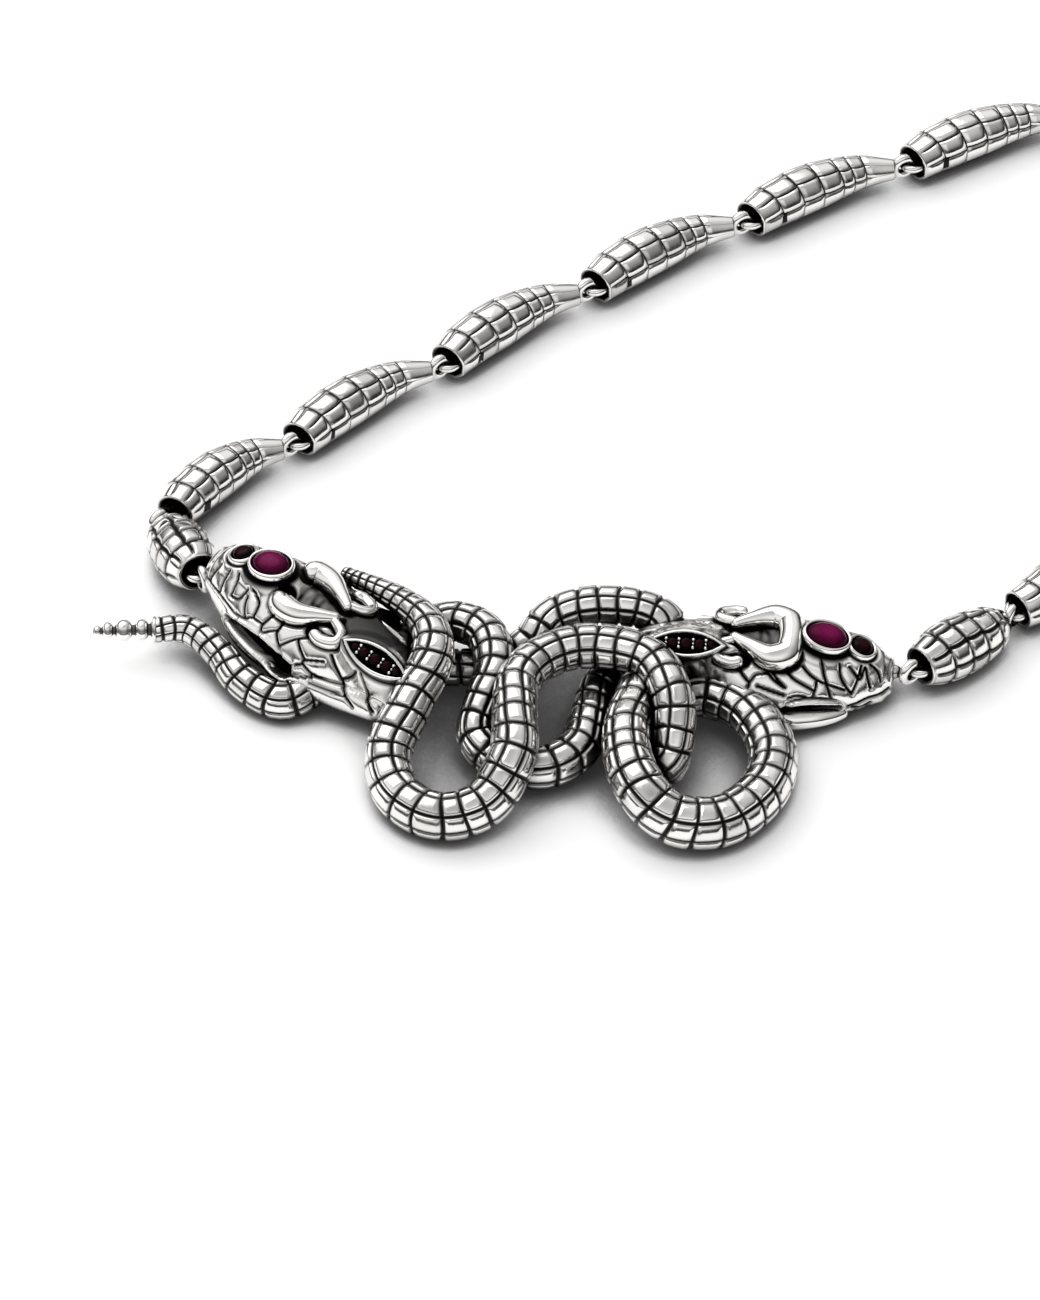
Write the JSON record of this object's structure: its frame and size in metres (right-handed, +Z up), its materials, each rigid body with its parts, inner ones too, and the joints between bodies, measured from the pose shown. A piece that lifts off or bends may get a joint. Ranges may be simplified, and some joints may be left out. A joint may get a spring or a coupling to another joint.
{
  "type": "snake necklace",
  "caption": "Oxidised silver necklace lying flat: two twined snakes with red stones hold a chain of curved, scale-engraved horn links at their noses.",
  "frame": {"origin": "centre of the bounding box on the surface that the necklace lies on", "axes": "+X runs from the left snake's end of the layout to the chain's right bend, +Y away from the centrepiece to the clasp, +Z up"},
  "size_m": [0.1864, 0.1368, 0.0112],
  "materials": {
    "silver": "polished, with blackened grooves",
    "ruby": "polished, deep magenta red",
    "garnet": "polished, very dark red"
  },
  "bodies": {
    "root": {"snakes": "silver", "ruby_left": "ruby", "ruby_right": "ruby", "nose_stone_left": "garnet", "nose_stone_right": "garnet", "eye_stones_left_near": "garnet", "eye_stones_left_far": "garnet", "eye_stones_right_near": "garnet", "eye_stones_right_far": "garnet", "barrel_left": "silver", "barrel_right": "silver", "link_left_1": "silver", "link_left_2": "silver", "link_left_3": "silver", "link_left_4": "silver", "link_left_5": "silver", "link_left_6": "silver", "link_left_7": "silver", "link_left_8": "silver", "link_left_9": "silver", "link_right_1": "silver", "link_right_2": "silver", "link_right_3": "silver", "link_right_4": "silver", "link_right_5": "silver", "link_right_6": "silver", "link_right_7": "silver", "link_right_8": "silver", "link_right_9": "silver", "clasp": "silver"}
  },
  "joints": []
}
